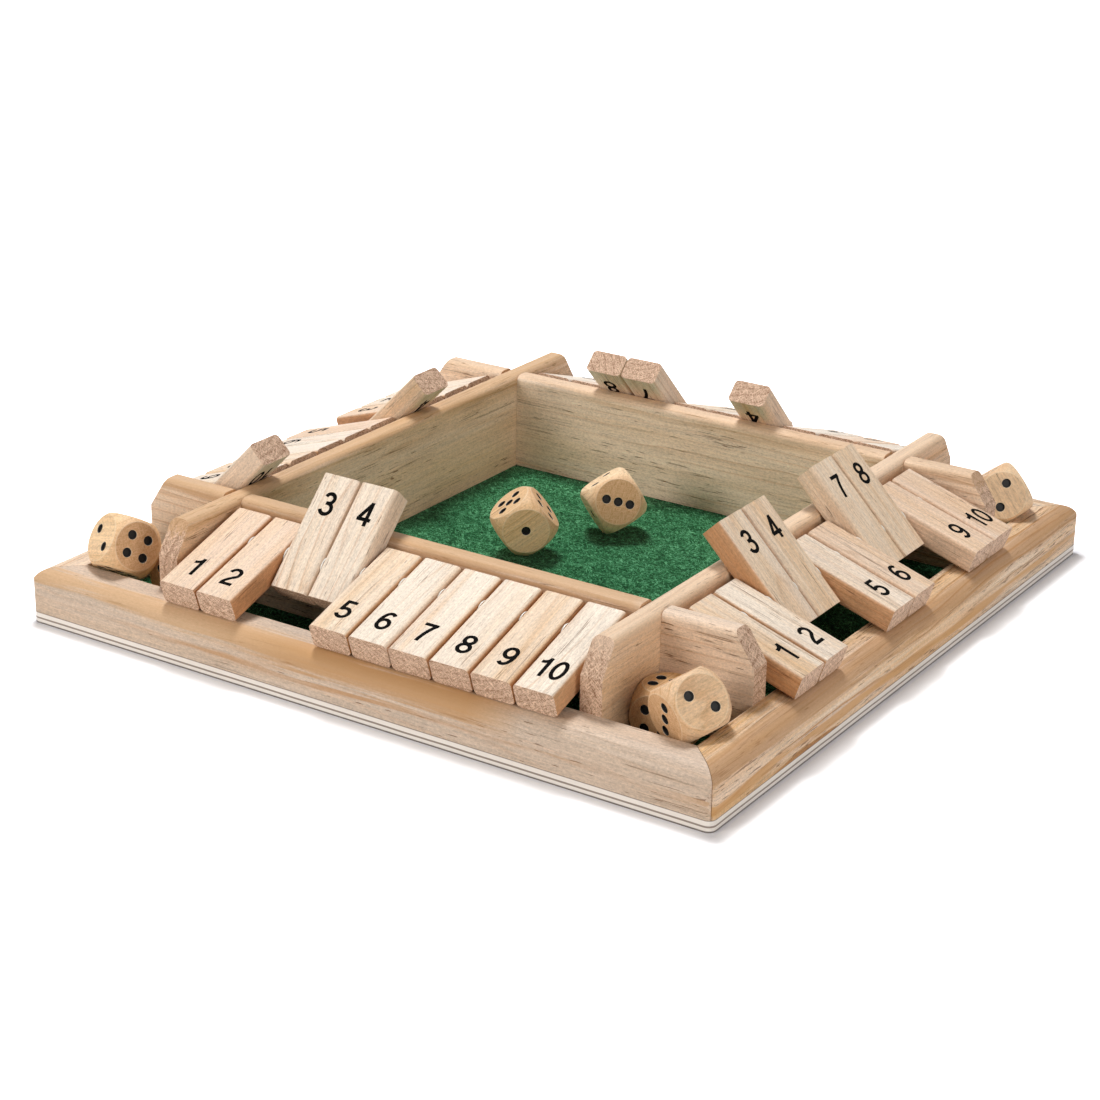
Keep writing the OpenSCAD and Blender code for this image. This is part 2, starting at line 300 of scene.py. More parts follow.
class Wood(Coat):
    """A wood material's node tree, in the piece's own axes: X along the grain, in millimetres."""

    def __init__(self, name, middle, axes, seed):
        super().__init__(name)
        self.draw = random.Random(seed)
        self.own = self.node("ShaderNodeMapping", {
            "Vector": self.point, "Location": middle, "Rotation": axes.to_euler(), "Scale": (MM, MM, MM)},
            vector_type="TEXTURE").outputs[0]
        self.x, self.y, self.z = self.split(self.own)
        self.end = self.span(self.facing(axes.col[0]), *END_TURN)
        self.shift = [self.draw.uniform(-SHIFT_REACH, SHIFT_REACH) for _ in range(3)]
        self.moved = self.vector("ADD", self.own, tuple(self.shift))

    def grained(self, noise):
        """A noise in the piece's own place of the texture."""
        scaled = self.vector("MULTIPLY", self.moved, (noise.along, noise.across, noise.across))
        return self.noise(scaled, detail=noise.detail, rough=noise.rough)

    def placed(self, noise, shift):
        """A noise that a shift places, and not the piece."""
        scaled = self.vector("MULTIPLY", self.own, (noise.along, noise.across, noise.across))
        return self.noise(self.vector("ADD", scaled, shift), detail=noise.detail, rough=noise.rough)

    def level(self, noise, to_low=0.0, to_high=1.0, smooth=False):
        return self.span(self.grained(noise), noise.low, noise.high, to_low, to_high, smooth)

    def growth_ring(self, pith, ring_step):
        """How dark a point is in its growth ring."""
        if pith is None:
            angle = self.draw.uniform(0, 2 * math.pi)
            distance = self.draw.uniform(*PITH_DISTANCE)
            pith = (distance * math.cos(angle), distance * math.sin(angle))
        lean = self.draw.uniform(-RING_LEAN, RING_LEAN)
        push = self.math("MULTIPLY_ADD", self.grained(SLOW_WAVE), SLOW_PUSH,
                         self.math("MULTIPLY", self.grained(QUICK_WAVE), QUICK_PUSH))
        y = self.math("ADD", self.math("ADD", self.y, pith[0]), self.math("MULTIPLY", self.x, lean))
        z = self.math("ADD", self.z, pith[1])
        turns = self.math("DIVIDE", self.math("ADD", self.reach(y, z), push), ring_step)
        dark = self.node("ShaderNodeFloatCurve", {"Value": self.math("FRACT", turns)})
        curve = dark.mapping.curves[0]
        curve.points[0].location = (0, RING_SEAM)
        curve.points[1].location = (1, RING_SEAM)
        for point in RING_CURVE:
            curve.points.new(*point)
        dark.mapping.update()
        return dark.outputs[0]

    def ground(self, tone, rosy, stripes, colours):
        """The wood's colour before its rings and lines."""
        swing = PINK_SWING * stripes
        pink = self.level(PINK_PATCH, rosy - swing, rosy + swing)
        blotch = self.level(BLOTCH, *(tone + tan * stripes for tan in BLOTCH_TAN))
        stripe = self.level(STRIPE, *(tan * stripes for tan in STRIPE_TAN))
        warm = self.math("ADD", blotch, stripe, clamp=True)
        return self.mix(warm, self.mix(pink, *colours), HONEY)

    def dark_lines(self, flecks, cracks):
        """How strongly a fleck or a hair line shows, on all faces but the end grain."""
        limit = self.level(CROWD, FLECK_LIMIT, FLECK_LIMIT - FLECK_EASE * flecks)
        past_limit = self.math("SUBTRACT", self.grained(DASH), limit)
        fleck = self.math("MULTIPLY", past_limit, FLECK_EDGE, clamp=True)
        from_vein = self.math("ABSOLUTE", self.math("SUBTRACT", self.grained(VEIN), VEIN_LEVEL))
        opens = GATE_LIMIT - GATE_EASE * cracks
        gate = self.span(self.grained(GATE), opens, opens + GATE_EDGE)
        crack = self.math("MULTIPLY", self.span(from_vein, *VEIN_HALF, VEIN_SHOW, 0.0), gate)
        line = self.math("MAXIMUM", fleck, crack)
        return self.math("MULTIPLY", line, self.math("SUBTRACT", 1.0, self.end))

    def end_shade(self, ring, pore):
        """How dark the end grain is: speckled with pores, crossed by slanting lines, with rings as arcs."""
        across = math.cos(HATCH_TURN)
        up = math.sin(HATCH_TURN)
        u = self.math("ADD", self.math("MULTIPLY", self.y, across), self.math("MULTIPLY", self.z, up))
        v = self.math("SUBTRACT", self.math("MULTIPLY", self.z, across), self.math("MULTIPLY", self.y, up))
        slanted = self.join(u, v, self.shift[0])
        hatches = [self.noise(self.vector("MULTIPLY", slanted, scale), detail=1, rough=0.6)
                   for scale in HATCHES]
        hatched = self.span(self.math("MAXIMUM", *hatches), *HATCH_LEVELS)
        shade = self.math("MULTIPLY_ADD", hatched, HATCH_SHADE, END_MIDDLE)
        shade = self.math("MULTIPLY_ADD", self.span(pore, *PORE_LEVELS), PORE_SHADE, shade)
        return self.math("MULTIPLY_ADD", ring, RING_SHADE, shade, clamp=True)


def wood(name, middle, axes, seed, tone=0.3, rosy=0.3, stripes=1.0, rings=0.5, ring_step=3.4, pith=None,
         flecks=0.5, cracks=0.2, ground=(PALE, ROSY), ends=(END_PALE, END_DARK), paint=()):
    """A wood material. middle and axes place the piece's own axes, X along the grain. tone goes from
    pale to honey brown, rosy from cream to pink, and stripes is how far both vary across the piece.
    rings is how strongly the growth rings show, ring_step how far apart they are, and pith the heart
    of the tree as seen from the piece's own end, so that arcs show on the end grain and long flames on
    the faces. flecks and cracks are how many short and long dark lines show along the grain. ground
    and ends are the colours of the faces and the end grain, which each function of paint then changes."""
    t = Wood(name, middle, axes, seed)
    ring = t.growth_ring(pith, ring_step)
    fibre = t.grained(FIBRE)
    grit = t.grained(GRIT)
    pore = t.noise(t.vector("MULTIPLY", t.moved, PORES), detail=2, rough=0.8)
    line = t.dark_lines(flecks, cracks)

    patch = t.level(RING_PATCH, RING_FAINT * rings, RING_STRONG * rings, smooth=True)
    colour = t.mix(t.math("MULTIPLY", ring, patch), t.ground(tone, rosy, stripes, ground), RING)
    shade = t.math("ADD", t.span(fibre, FIBRE.low, FIBRE.high, *FIBRE_SHADE),
                   t.span(grit, GRIT.low, GRIT.high, *GRIT_SHADE))
    colour = t.mix(1.0, colour, t.join(shade, shade, shade), "MULTIPLY")
    colour = t.mix(t.math("MULTIPLY", line, LINE_SHOW), colour, FLECK)
    colour = t.mix(t.end, colour, t.mix(t.end_shade(ring, pore), *ends))
    for change in paint:
        colour = change(t, colour)

    height = t.math("MULTIPLY_ADD", fibre, FIBRE_RELIEF, t.math("MULTIPLY", grit, GRIT_RELIEF))
    height = t.math("MULTIPLY_ADD", line, LINE_RELIEF, height)
    height = t.math("MULTIPLY_ADD", t.math("MULTIPLY", pore, t.end), PORE_RELIEF, height)
    return t.finish(colour, t.span(fibre, *ROUGHNESS_LEVELS, *WOOD_ROUGHNESS), height, WOOD_RELIEF,
                    Specular_IOR_Level=WOOD_GLOSS)


# Paint on the wood: functions that take a wood's tree and its colour so far, and give the changed colour

STREAK_SWAY = Noise(0.012, 0.05)
STREAK_EDGE = Noise(0.03, 0.8)
STREAK_PATCH = Noise(0.014, 0.02, detail=1, low=0.35, high=0.56)
EDGE_SHIFT = 9
# How far a streak sways in the piece's own Y and Z, in millimetres
SWAY_Y = 8.0
SWAY_Z = -6.0
# How ragged a streak's edge is, and how wide its full core, in shares of its radius
STREAK_RAGGED = 0.25
STREAK_CORE = 0.45


def streak(y, z, radius, amount, tint, seed, patchy=False, ends=None):
    """A band of colour that runs through a piece along its grain, round a point of its section: a streak in
    the wood, and under the front rail's tile ends partly painted shade.
    ends is where along the piece it sets in, is full, starts to fade and is gone."""
    def change(t, colour):
        sway = t.placed(STREAK_SWAY, (seed, 0, 0))
        edge = t.placed(STREAK_EDGE, (seed, EDGE_SHIFT, 0))
        away_y = t.math("SUBTRACT", t.math("MULTIPLY_ADD", sway, SWAY_Y, t.y), y + SWAY_Y / 2)
        away_z = t.math("SUBTRACT", t.math("MULTIPLY_ADD", sway, SWAY_Z, t.z), z + SWAY_Z / 2)
        ragged = STREAK_RAGGED * radius
        away = t.math("ADD", t.reach(away_y, away_z),
                      t.span(edge, STREAK_EDGE.low, STREAK_EDGE.high, -ragged, ragged))
        show = t.span(away, STREAK_CORE * radius, radius, amount, 0.0, smooth=True)
        if patchy:
            patch = t.placed(STREAK_PATCH, (0, seed, 0))
            show = t.math("MULTIPLY", show, t.span(patch, STREAK_PATCH.low, STREAK_PATCH.high))
        if ends:
            sets_in, full, fades, gone = ends
            begun = t.span(t.x, sets_in, full, smooth=True)
            left = t.span(t.x, fades, gone, 1.0, 0.0)
            show = t.math("MULTIPLY", show, t.math("MULTIPLY", begun, left))
        return t.mix(show, colour, tint)
    return change


# Painted shade on the tiles' narrow sides: its orange tint, and how squarely a face must lie across the axis
# to take it
SIDE_SHADE_TINT = (0.66, 0.41, 0.23)
SIDE_SHADE_TURN = (0.45, 0.95)


def sawn_sides(across, amount):
    """Painted shade: multiplies the faces across one axis by an orange tint, which stands in for the shade
    and warm bounce light on the tiles' narrow sides.
    """
    def change(t, colour):
        side = t.span(t.facing(across), *SIDE_SHADE_TURN, 0.0, amount, smooth=True)
        return t.mix(side, colour, SIDE_SHADE_TINT, "MULTIPLY")
    return change


# The joint between the board and the rails on it, in millimetres from its middle
SEAM_CORE = 0.08
SEAM_EDGE = 0.256
SEAM_SHOW = 0.72
SEAM_DARK = (0.16, 0.11, 0.08)


def seam(t, colour):
    """Paints the thin dark joint between the board and the rails on it."""
    away = t.math("ABSOLUTE", t.math("SUBTRACT", t.height(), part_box("base_board")[1].z / MM))
    return t.mix(t.span(away, SEAM_CORE, SEAM_EDGE, SEAM_SHOW, 0.0), colour, SEAM_DARK)


# The plies of the board's edge, with heights in millimetres
PLY_PALE = (0.98, 0.96, 0.95)
PLY_PALE_SHOW = 0.86
PLY_DARK = (0.22, 0.16, 0.13)
PLY_DARK_SHOW = 0.85
PLY_LINE_HEIGHT = 2.25
PLY_LINE_HALF = (0.24, 0.42)
PLY_WOBBLE = 0.35
PLY_WOBBLE_FINE = 60.0
# Painted shade along the board's lowest edge: its colour, the heights over which it fades out, and its
# strength
PLY_FOOT_SHADE = (0.07, 0.055, 0.055)
PLY_FOOT_SHADE_HEIGHTS = (0.35, 0.70)
PLY_FOOT_SHADE_SHOW = 0.9
EDGE_TURN = (0.3, 0.6)


def ply_edge(t, colour):
    """Paints the plies on the board's edge: pale outer plies and a thin dark line between them, and painted
    shade along the lowest edge, next to the floor."""
    z = t.height()
    wobble = t.math("MULTIPLY", t.noise(t.vector("SCALE", t.point, PLY_WOBBLE_FINE)), PLY_WOBBLE)
    line = t.math("ABSOLUTE", t.math("SUBTRACT", t.math("ADD", z, wobble), PLY_LINE_HEIGHT))
    edge = t.mix(PLY_PALE_SHOW, colour, PLY_PALE)
    edge = t.mix(t.span(line, *PLY_LINE_HALF, PLY_DARK_SHOW, 0.0), edge, PLY_DARK)
    # Painted shade along the lowest edge
    edge = t.mix(t.span(z, *PLY_FOOT_SHADE_HEIGHTS, PLY_FOOT_SHADE_SHOW, 0.0), edge, PLY_FOOT_SHADE)
    return t.mix(t.span(t.facing((0, 0, 1)), *EDGE_TURN, 1.0, 0.0), colour, edge)


# The board, its rails and its walls

SOFT_ANGLE = math.radians(35)
SOFT_STEPS = 2
WELD_REACH = 0.01


def dress(node, material):
    """Gives a CAD node its material."""
    thing = NODES[node]
    thing.data.materials.clear()
    thing.data.materials.append(material)
    return thing


def soften(thing, width):
    """Rounds the sawn edges of a piece a little."""
    weld = thing.modifiers.new("weld", "WELD")
    weld.merge_threshold = WELD_REACH * MM
    bevel = thing.modifiers.new("bevel", "BEVEL")
    bevel.width = width * MM
    bevel.segments = SOFT_STEPS
    bevel.limit_method = "ANGLE"
    bevel.angle_limit = SOFT_ANGLE
    bevel.harden_normals = False
    smooth = thing.modifiers.new("normals", "WEIGHTED_NORMAL")
    smooth.keep_sharp = True


def middle_of(node):
    low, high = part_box(node)
    return (low + high) / 2


def dress_in_wood(node, axes, seed, softness, **look):
    soften(dress(node, wood(node, middle_of(node), axes, seed, **look)), softness)


BOARD_SOFTNESS = 0.4
BOARD_SEED = 11
RAIL_SOFTNESS = 0.35
RAIL_SEED = 20
RAIL_RING_STEP = 3.8
WALL_SOFTNESS = 0.35
WALL_SEED = 40
WALL_RING_STEP = 4.2
# The top of a wall in its own section
WALL_TOP = 21
WALL_TOP_RADIUS = 9

GREY_PALE = (0.66, 0.555, 0.465)
GREY_ROSY = (0.60, 0.45, 0.345)
# A paler copy of the wall wood: painted light for the back wall
PAINTED_LIGHT_PALE = (0.98, 0.88, 0.755)
PAINTED_LIGHT_ROSY = (0.93, 0.735, 0.58)
BAND_TAN = (0.66, 0.40, 0.19)
BAND_BROWN_AND_SHADE = (0.52, 0.29, 0.125)
EDGE_BROWN = (0.50, 0.275, 0.125)
FOOT_ORANGE = (0.60, 0.32, 0.12)
WALL_TAN = (0.58, 0.35, 0.17)
WALL_CREAM = (0.88, 0.70, 0.55)


def wall_top(amount, tint, seed, ends=None):
    """Colours the top of a wall."""
    return streak(0, WALL_TOP, WALL_TOP_RADIUS, amount, tint, seed, ends=ends)


RAILS = {
    "front": {"tone": 0.05, "rosy": 0.4, "stripes": 0.25, "rings": 0.2, "flecks": 0.6, "cracks": 0.25,
              "pith": (60, 45), "ground": (GREY_PALE, GREY_ROSY), "paint": [
                  streak(-5.0, 6.8, 6.3, 0.65, BAND_TAN, seed=3, ends=(-170, -150, 50, 72)),
                  # This band is partly a brown streak in the wood and partly painted shade under the tile
                  # ends
                  streak(-5.8, 5.0, 8.2, 0.8, BAND_BROWN_AND_SHADE, seed=3, ends=(-70, -10, 50, 72)),
                  streak(-7.6, -3.0, 1.7, 0.7, RING, seed=5, patchy=True), seam]},
    "right": {"tone": 0.42, "rosy": 0.6, "stripes": 1.0, "rings": 1.0, "flecks": 1.1, "cracks": 1.3,
              "pith": (40, 22), "paint": [
                  streak(-4.4, 6.6, 6.0, 0.75, EDGE_BROWN, seed=8),
                  streak(-7.6, -4.4, 2.4, 0.8, FOOT_ORANGE, seed=14), seam]},
    "back": {"tone": 0.3, "rosy": 0.5, "stripes": 0.6, "rings": 0.6, "flecks": 0.9, "cracks": 0.5,
             "pith": (30, -40), "paint": [seam]},
    "left": {"tone": 0.2, "rosy": 0.5, "stripes": 0.5, "rings": 0.5, "flecks": 0.9, "cracks": 0.4,
             "pith": (-50, 30), "paint": [seam]},
}
WALLS = {
    "front": {"tone": 0.08, "rosy": 0.7,
              "paint": [wall_top(0.75, WALL_TAN, seed=30, ends=(-150, -145, 82, 94))]},
    "right": {"tone": 0.44, "rosy": 0.7, "paint": [wall_top(0.35, WALL_CREAM, seed=31)]},
    # The back wall's paler ground is painted light, for the stronger light on its inner face
    "back": {"tone": 0.03, "rosy": 0.9, "ground": (PAINTED_LIGHT_PALE, PAINTED_LIGHT_ROSY),
             "paint": [wall_top(0.45, WALL_TAN, seed=32)]},
    "left": {"tone": 0.38, "rosy": 0.7, "paint": [wall_top(0.65, WALL_TAN, seed=33)]},
}


def dress_board():
    base = wood("base_ply", middle_of("base_board"), Matrix.Identity(3), BOARD_SEED, tone=0.15, rings=0.3,
                pith=(0, 300), paint=[ply_edge, seam])
    soften(dress("base_board", base), BOARD_SOFTNESS)
    for number, row in enumerate(ROWS):
        axes = Matrix.Rotation(math.radians(90 * number), 3, "Z")
        dress_in_wood("rail_" + row, axes, RAIL_SEED + number, RAIL_SOFTNESS, ring_step=RAIL_RING_STEP,
                      **RAILS[row])
        dress_in_wood("wall_" + row, axes, WALL_SEED + number, WALL_SOFTNESS, ring_step=WALL_RING_STEP,
                      stripes=0.4, rings=0.4, flecks=0.9, cracks=0.6, **WALLS[row])


# Tiles: each has its own axes, X along the grain to the outer end and Z out of the face that
# lies upward when the tile is down

def tile_axes(node):
    """The middle of a tile and its own axes, from its hinge."""
    joint = next(j for j in frame["joints"] if j["child"] == node)
    middle = middle_of(node)
    x = (middle - Vector(joint["pos_m"])).normalized()
    y = -Vector(joint["axis"])
    return middle, Matrix((x, y, x.cross(y))).transposed()


# Numerals: strokes of one width, drawn in a cell one unit high

STROKE = 0.149
ARC_STEPS = 28
BEND_STEPS = 10
# How much higher each stroke of a digit is than the one before, so that no two tops lie in one plane
LAYER_STEP = 0.01
SAME_POINT = 1e-6
SHARPEST_CORNER = 0.5


def arc(middle, reach, start, stop):
    """Points on an ellipse from one angle to another, in degrees, anticlockwise from the right."""
    steps = max(2, round(ARC_STEPS * abs(stop - start) / 360))
    angles = [math.radians(start + (stop - start) * i / steps) for i in range(steps + 1)]
    return [(middle[0] + reach[0] * math.cos(a), middle[1] + reach[1] * math.sin(a)) for a in angles]


def bend(start, control, stop):
    """Points on a curve from start to stop that leans towards control."""
    points = []
    for i in range(BEND_STEPS + 1):
        u = i / BEND_STEPS
        points.append(tuple((1 - u) ** 2 * a + 2 * u * (1 - u) * b + u * u * c
                            for a, b, c in zip(start, control, stop)))
    return points


DIGIT_WIDTH = 0.62
DIGIT_GAP = 0.02
SIX = [arc((0.31, 0.32), (0.215, 0.245), 0, 360),
       arc((0.345, 0.47), (0.25, 0.455), 188, 52)]
DIGITS = {
    "0": [arc((0.31, 0.5), (0.225, 0.425), 0, 360)],
    "1": [[(0.40, 0.0), (0.40, 1.0)], bend((0.10, 0.735), (0.34, 0.74), (0.40, 0.94))],
    "2": [arc((0.305, 0.70), (0.215, 0.225), 172, -28) + bend((0.46, 0.53), (0.13, 0.29), (0.10, 0.10)),
          [(0.035, 0.075), (0.56, 0.075)]],
    "3": [arc((0.29, 0.73), (0.19, 0.20), 165, -90) + [(0.20, 0.53)],
          [(0.21, 0.53)] + arc((0.29, 0.30), (0.225, 0.23), 90, -165)],
    "4": [[(0.42, 0.945), (0.075, 0.27)], [(0.02, 0.27), (0.60, 0.27)], [(0.425, 0.0), (0.425, 1.0)]],
    "5": [[(0.10, 0.93), (0.53, 0.93)], [(0.165, 0.96), (0.115, 0.44)],
          arc((0.295, 0.32), (0.225, 0.245), 142, -160)],
    "6": SIX,
    "7": [[(0.04, 0.93), (0.58, 0.93)], bend((0.52, 0.94), (0.265, 0.56), (0.215, 0.0))],
    "8": [arc((0.31, 0.73), (0.19, 0.195), 0, 360), arc((0.31, 0.29), (0.22, 0.215), 0, 360)],
    "9": [[(DIGIT_WIDTH - x, 1 - y) for x, y in stroke] for stroke in SIX],
}


def ribbon(points, width, thick):
    """A flat closed bar of one width along points, with square ends, or joined up where it meets itself."""
    closed = math.dist(points[0], points[-1]) < SAME_POINT
    if closed:
        points = points[:-1]
    count = len(points)
    bm = bmesh.new()
    rings = []
    for i, (x, y) in enumerate(points):
        before = points[i - 1] if i or closed else points[i]
        after = points[(i + 1) % count] if i + 1 < count or closed else points[i]
        run = Vector((after[0] - before[0], after[1] - before[1])).normalized()
        side = Vector((-run.y, run.x)) * width / 2
        if (i or closed) and (i + 1 < count or closed):
            first = Vector((x - before[0], y - before[1])).normalized()
            side /= max(SHARPEST_CORNER, run.dot(first))
        rings.append([bm.verts.new((x + s * side.x, y + s * side.y, z))
                      for s, z in ((1, 0), (-1, 0), (-1, thick), (1, thick))])
    for i in range(count if closed else count - 1):
        a = rings[i]
        b = rings[(i + 1) % count]
        for k in range(4):
            bm.faces.new((a[k], a[(k + 1) % 4], b[(k + 1) % 4], b[k]))
    if not closed:
        bm.faces.new(rings[0])
        bm.faces.new(rings[-1])
    bmesh.ops.recalc_face_normals(bm, faces=bm.faces)
    return as_mesh(bm, "stroke")


def as_mesh(bm, name):
    mesh = bpy.data.meshes.new(name)
    bm.to_mesh(mesh)
    bm.free()
    return mesh


def joined(meshes):
    """One clean mesh of overlapping closed bars."""
    parts = [bpy.data.objects.new("stroke", mesh) for mesh in meshes]
    for part in parts:
        bpy.context.scene.collection.objects.link(part)
    for part in parts[1:]:
        union = parts[0].modifiers.new("union", "BOOLEAN")
        union.operation = "UNION"
        union.object = part
        union.solver = "EXACT"
    graph = bpy.context.evaluated_depsgraph_get()
    mesh = bpy.data.meshes.new_from_object(parts[0].evaluated_get(graph))
    for part in parts:
        bpy.data.objects.remove(part)
    return mesh


def make_digit(strokes):
    return joined([ribbon(points, STROKE, 1 + LAYER_STEP * i) for i, points in enumerate(strokes)])


digit_meshes = {digit: make_digit(strokes) for digit, strokes in DIGITS.items()}

NUMERAL_HEIGHT = 9.4
NUMERAL_WIDEN = 1.08
PAIR_SQUEEZE = 0.93
NUMERAL_FROM_END = 11.4
PRINT_PROUD = 0.03
PRINT_THICK = 0.08
PRINT_BLACK = (0.002, 0.002, 0.002)
PRINT_WORN = (0.09, 0.065, 0.045)
PRINT_WEAR_FINE = 1600.0


def print_material():
    t = Coat("black_print")
    worn = t.noise(t.vector("SCALE", t.point, PRINT_WEAR_FINE), rough=0.6)
    colour = t.ramp(worn, (0.66, PRINT_BLACK), (0.76, PRINT_WORN))
    return t.finish(colour, t.span(worn, 0.3, 0.7, 0.7, 0.9), Specular_IOR_Level=0.04)


BLACK_PRINT = print_material()


def add_numeral(bm, number, place):
    """Adds the digits of a number to bm, middle at the place's origin, X to the right and Y up."""
    text = str(number)
    wide = len(text) * DIGIT_WIDTH + (len(text) - 1) * DIGIT_GAP
    widen = NUMERAL_WIDEN * (PAIR_SQUEEZE if len(text) > 1 else 1)
    size = NUMERAL_HEIGHT * MM
    for i, digit in enumerate(text):
        start = i * (DIGIT_WIDTH + DIGIT_GAP) - wide / 2
        cell = (place @ Matrix.Diagonal((size * widen, size, PRINT_THICK * MM, 1))
                @ Matrix.Translation((start, -0.5, -1)))
        mesh = digit_meshes[digit].copy()
        mesh.transform(cell)
        bm.from_mesh(mesh)
        bpy.data.meshes.remove(mesh)


def print_numerals(node, number, middle, axes):
    """Numerals on both wide faces of a tile, each the right way up for the player on its side."""
    x, y, z = axes.col
    corners = [vertex.co - middle for vertex in NODES[node].data.vertices]
    reach = max(c.dot(x) for c in corners) - NUMERAL_FROM_END * MM
    half_thick = max(c.dot(z) for c in corners)
    bm = bmesh.new()
    for up, out in ((-x, z), (x, -z)):
        spot = middle + x * reach + out * (half_thick + PRINT_PROUD * MM)
        add_numeral(bm, number, Matrix.Translation(spot) @ Matrix((y, up, out)).transposed().to_4x4())
    mesh = as_mesh(bm, "numeral")
    mesh.materials.append(BLACK_PRINT)
    piece = bpy.data.objects.new(node.replace("tile", "numeral"), mesh)
    bpy.context.scene.collection.objects.link(piece)
    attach(piece, node)


# The woods of the tiles, from 1 to 10 in each row: cream, rosy or yellow, and which take strong painted
# shade on their narrow sides
TILE_WOODS = {"front": "rrccycccyc", "right": "ycyycryyrr", "back": "crcycyccrc", "left": "ccryrccycc"}
WOOD_KINDS = {"c": {"tone": 0.03, "rosy": 0.1},
              "r": {"tone": 0.14, "rosy": 0.9},
              "y": {"tone": 0.36, "rosy": 0.1}}
SHADED_SIDE_TILES = {"front": (1, 2, 5, 7, 8, 9, 10), "right": (1, 2, 3, 5), "back": (2, 5, 9), "left": (2, 3, 7)}
# How strongly the painted shade darkens the narrow sides of those tiles, and of the others
SIDE_SHADE_STRONG = 0.9
SIDE_SHADE_WEAK = 0.18
TILE_SOFTNESS = 0.3
TILE_SEED = 7
# Where the heart of the tree lies, beside a tile and above or below it, and what else varies
PITH_BESIDE = (-30, 30)
PITH_BEYOND = (15, 90)
TILE_SPANS = {"stripes": (0.4, 0.8), "rings": (0.12, 0.40), "ring_step": (1.8, 3.6), "flecks": (0.2, 0.9),
              "cracks": (0.0, 0.8)}


def make_tiles():
    draw = random.Random(TILE_SEED)
    for row in ROWS:
        for number in range(1, TILES_A_ROW + 1):
            node = f"tile_{row}_{number}"
            middle, axes = tile_axes(node)
            # How much painted shade the tile's narrow sides take
            side = SIDE_SHADE_STRONG if number in SHADED_SIDE_TILES[row] else SIDE_SHADE_WEAK
            pith = (draw.uniform(*PITH_BESIDE), draw.choice((-1, 1)) * draw.uniform(*PITH_BEYOND))
            varied = {key: draw.uniform(*span) for key, span in TILE_SPANS.items()}
            dress_in_wood(node, axes, f"{row} {number}", TILE_SOFTNESS, pith=pith,
                          paint=[sawn_sides(axes.col[1], side)],
                          **WOOD_KINDS[TILE_WOODS[row][number - 1]], **varied)
            print_numerals(node, number, middle, axes)


# Dice: the turns of the eight dice, as they lie in the well and the pockets

DICE_TURNS = {
    "die_well_1": (93, 52.8, 40.4),
    "die_well_2": (-147.3, -56.3, -165.2),
    "die_front_low": (180, 0, 0),
    "die_front_top": (15.5, -33.2, -32.1),
    "die_left_low": (0, 90, 0),
    "die_left_top": (19.1, -30.3, -116.8),
    "die_right_low": (90, 0, 0),
    "die_right_top": (-58.7, -21.9, -56.8),
}
# How tan and how rosy each die is
DIE_WOODS = {
    "die_well_1": (0.35, 0.3),
    "die_well_2": (0.0, 0.0),
    "die_front_low": (0.7, 0.9),
    "die_front_top": (0.12, 0.6),
    "die_left_low": (0.5, 0.5),
    "die_left_top": (0.4, 0.1),
    "die_right_low": (0.4, 0.5),
    "die_right_top": (0.05, 0.1),
}
DIE_GROUND = ((0.96, 0.73, 0.48), (0.64, 0.41, 0.265))
DIE_ENDS = ((0.84, 0.56, 0.33), (0.60, 0.34, 0.165))
DIE_SOFTNESS = 0.2
# Half a die's width across its flats, and the radius of the ball that rounds its corners
DIE_HALF = 10.0
DIE_BALL = 13.5
# The pale edge where a die's flats meet its round: partly rubbed wear and partly painted highlight
DIE_RIM_WEAR_HIGHLIGHT = (0.93, 0.78, 0.58)
DIE_RIM_WEAR_HIGHLIGHT_SHOW = 0.38
DIE_RIM_WEAR_HIGHLIGHT_EDGES = (0.04, 0.26)
# A painted highlight on the rims of the pips, then the pips' black paint
PIP_RIM_HIGHLIGHT = (0.92, 0.80, 0.63)
PIP_RIM_HIGHLIGHT_SHOW = 0.7
PIP_RIM_HIGHLIGHT_DEPTHS = (0.01, 0.03)
PIP_BLACK = (0.003, 0.003, 0.003)
PIP_BLACK_DEPTHS = (0.10, 0.14)


def die_depths(t):
    """How deep a point lies under the flat faces and under the round of a die."""
    x, y, z = t.split(t.vector("ABSOLUTE", t.own))
    widest = t.math("MAXIMUM", t.math("MAXIMUM", x, y), z)
    ball = t.vector("LENGTH", t.own, out=1)
    return t.math("SUBTRACT", DIE_HALF, widest), t.math("SUBTRACT", DIE_BALL, ball)


def pale_rims(t, colour):
    """Pale edges where a die's flats meet its round corners: partly rubbed wear, partly a painted highlight.
    """
    under_flat, under_ball = die_depths(t)
    edge = t.math("MAXIMUM", t.math("ABSOLUTE", under_flat), t.math("ABSOLUTE", under_ball))
    return t.mix(t.span(edge, *DIE_RIM_WEAR_HIGHLIGHT_EDGES, DIE_RIM_WEAR_HIGHLIGHT_SHOW, 0.0), colour, DIE_RIM_WEAR_HIGHLIGHT)


def pip_paint(t, colour):
    """Black paint in the drilled pips and a painted highlight on their rims, by depth under the die's
    surface.
    """
    depth = t.math("MINIMUM", *die_depths(t))
    colour = t.mix(t.span(depth, *PIP_RIM_HIGHLIGHT_DEPTHS, 0.0, PIP_RIM_HIGHLIGHT_SHOW), colour, PIP_RIM_HIGHLIGHT)
    return t.mix(t.span(depth, *PIP_BLACK_DEPTHS), colour, PIP_BLACK)


def make_dice():
    for node, turn in DICE_TURNS.items():
        axes = Euler([math.radians(a) for a in turn]).to_matrix() @ Matrix.Rotation(math.pi / 2, 3, "Z")
        tone, rosy = DIE_WOODS[node]
        dress_in_wood(node, axes, node, DIE_SOFTNESS, tone=tone, rosy=rosy, rings=0.4, stripes=0.5,
                      flecks=0.1, cracks=0.0, ring_step=2.2, ground=DIE_GROUND, ends=DIE_ENDS,
                      paint=[pale_rims, pip_paint])


